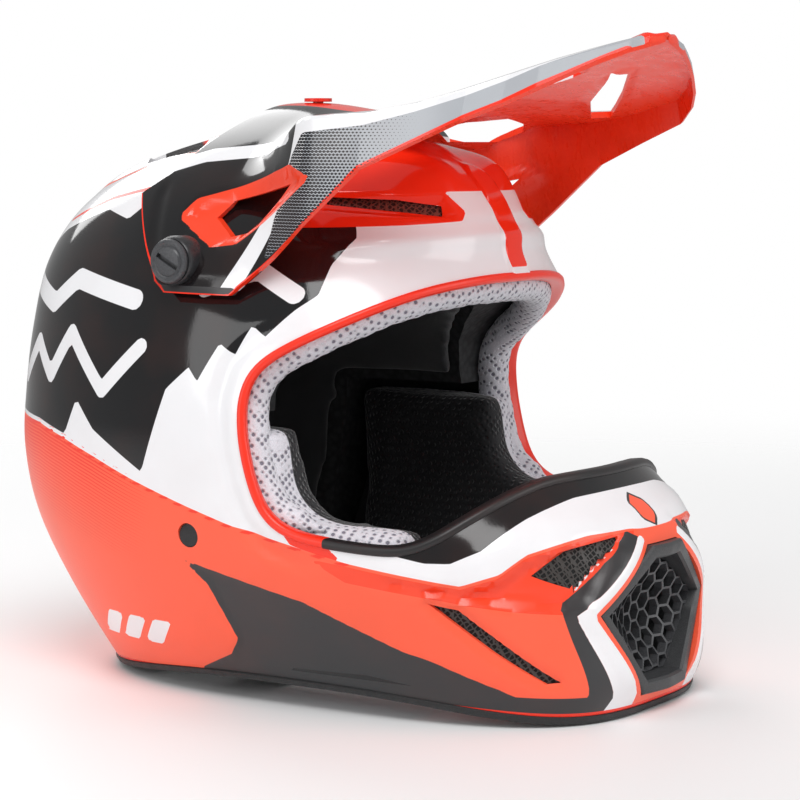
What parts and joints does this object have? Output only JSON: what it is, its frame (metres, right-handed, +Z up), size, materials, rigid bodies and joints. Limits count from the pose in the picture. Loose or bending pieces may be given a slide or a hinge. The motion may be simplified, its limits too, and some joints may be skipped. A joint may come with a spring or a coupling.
{
  "type": "motocross helmet",
  "caption": "Off-road full-face helmet with an open eye port, vented chin bar, adjustable peak, foam and fabric lining and a ring-fastened chin strap.",
  "frame": {"origin": "middle of the bounding box at the floor, under the lower rim", "axes": "+Z up, front of the helmet towards -Y, wearer's left towards +X"},
  "size_m": [0.2356, 0.3369, 0.2974],
  "materials": {
    "shell_paint": "satin and gloss clearcoat livery in orange, black and white",
    "peak_paint": "moulded gloss plastic",
    "liner_foam": "expanded bead foam",
    "liner_fabric": "brushed knit",
    "mesh_fabric": "open spacer mesh",
    "port_rubber": "satin",
    "rim_rubber": "satin",
    "screw_metal": "satin",
    "insert_brass": "machined",
    "vent_plastic": "fine grained",
    "vent_mesh": "pressed mesh",
    "webbing": "woven",
    "steel": "zinc plated"
  },
  "bodies": {
    "helmet": {"outer_shell": "shell_paint", "crown_foam": "liner_foam", "chin_foam": "liner_foam", "comfort_liner": "liner_fabric", "brow_roll": "mesh_fabric", "neck_roll": "liner_fabric", "cheek_pad_left": "mesh_fabric", "cheek_pad_right": "mesh_fabric", "eye_port_trim": "port_rubber", "lower_rim_trim": "rim_rubber", "peak_centre_screw": "screw_metal", "peak_inserts": "insert_brass", "mouth_vent_frame": "vent_plastic", "mouth_vent_grille": "vent_plastic", "mouth_vent_filter": "liner_foam", "chin_mesh_upper_left": "vent_mesh", "chin_mesh_upper_right": "vent_mesh", "chin_mesh_lower_left": "vent_mesh", "chin_mesh_lower_right": "vent_mesh", "brow_mesh_left": "vent_mesh", "brow_mesh_right": "vent_mesh", "rear_vent_insert": "vent_plastic", "crown_vent_meshes": "vent_mesh", "strap_bolts": "steel", "bolt_covers": "vent_plastic", "strap_short": "webbing", "strap_long": "webbing", "strap_snap": "steel", "cheek_pad_studs": "vent_plastic"},
    "peak": {"peak": "peak_paint"},
    "screw_left": {"peak_side_screw_left": "screw_metal"},
    "screw_right": {"peak_side_screw_right": "screw_metal"},
    "ring_upper": {"ring_upper": "steel"},
    "ring_lower": {"ring_lower": "steel"}
  },
  "joints": [
    {"name": "peak_tilt", "type": "hinge", "parent": "helmet", "child": "peak", "pos_m": [0, 0.019, 0.198], "axis": [-1, 0, 0], "range_deg": [-4, 6]},
    {"name": "screw_left_turn", "type": "hinge", "parent": "helmet", "child": "screw_left", "pos_m": [0.11, 0.019, 0.198], "axis": [1, 0, 0], "range_deg": [0, 90]},
    {"name": "screw_right_turn", "type": "hinge", "parent": "helmet", "child": "screw_right", "pos_m": [-0.11, 0.019, 0.198], "axis": [-1, 0, 0], "range_deg": [0, 90]},
    {"name": "ring_upper_swing", "type": "hinge", "parent": "helmet", "child": "ring_upper", "pos_m": [0.052, 0.01, 0.015], "axis": [0, 1, 0], "range_deg": [0, 60]},
    {"name": "ring_lower_swing", "type": "hinge", "parent": "helmet", "child": "ring_lower", "pos_m": [0.052, 0.01, 0.006], "axis": [0, 1, 0], "range_deg": [0, 20]}
  ]
}
